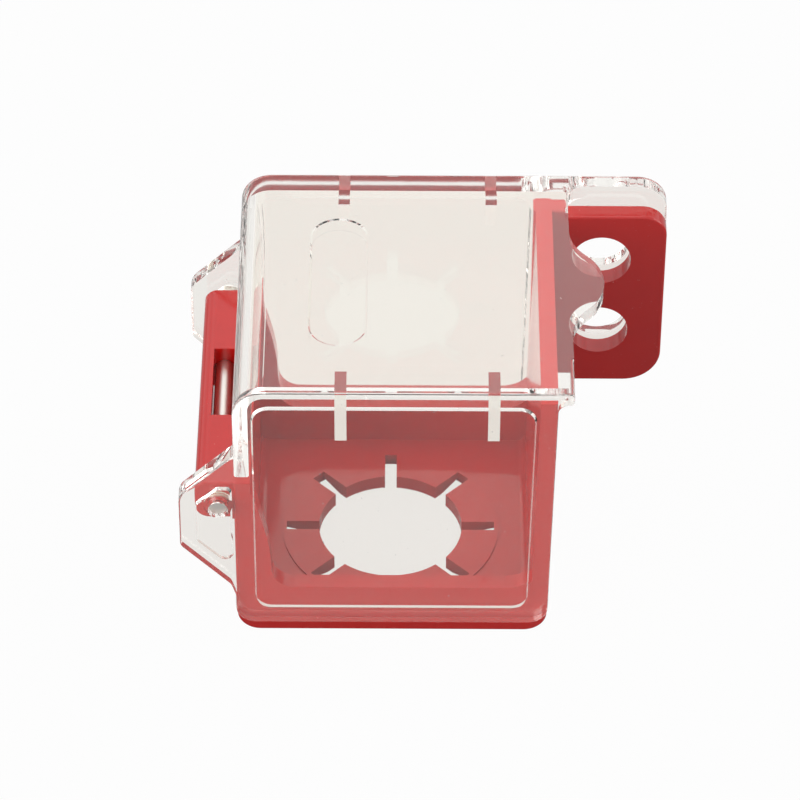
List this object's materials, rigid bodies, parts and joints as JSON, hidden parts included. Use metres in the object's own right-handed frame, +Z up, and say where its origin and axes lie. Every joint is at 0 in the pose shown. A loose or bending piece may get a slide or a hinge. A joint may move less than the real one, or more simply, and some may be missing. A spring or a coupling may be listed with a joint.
{
  "type": "pushbutton lockout cover",
  "caption": "Hinged clear cover on a red moulded base that is clamped under a pushbutton, with a hasp for a padlock that keeps the button covered.",
  "frame": {"origin": "axis of the pushbutton hole at the underside that lies on the panel", "axes": "+Z up from the panel through the hole, +X from the hinge to the hasp, +Y to the side with the hasp plates"},
  "size_m": [0.0763, 0.0522, 0.0532],
  "materials": {
    "red_abs": "glossy moulded ABS",
    "clear_polycarbonate": "polished clear polycarbonate",
    "pin_steel": "drawn and polished steel"
  },
  "bodies": {
    "base": {"lockout_base": "red_abs", "hinge_pin": "pin_steel"},
    "cover": {"clear_cover": "clear_polycarbonate"}
  },
  "joints": [
    {"name": "cover_hinge", "type": "hinge", "parent": "base", "child": "cover", "pos_m": [-0.02645, 0.0007, 0.029], "axis": [0, -1, 0], "range_deg": [0, 180]}
  ]
}
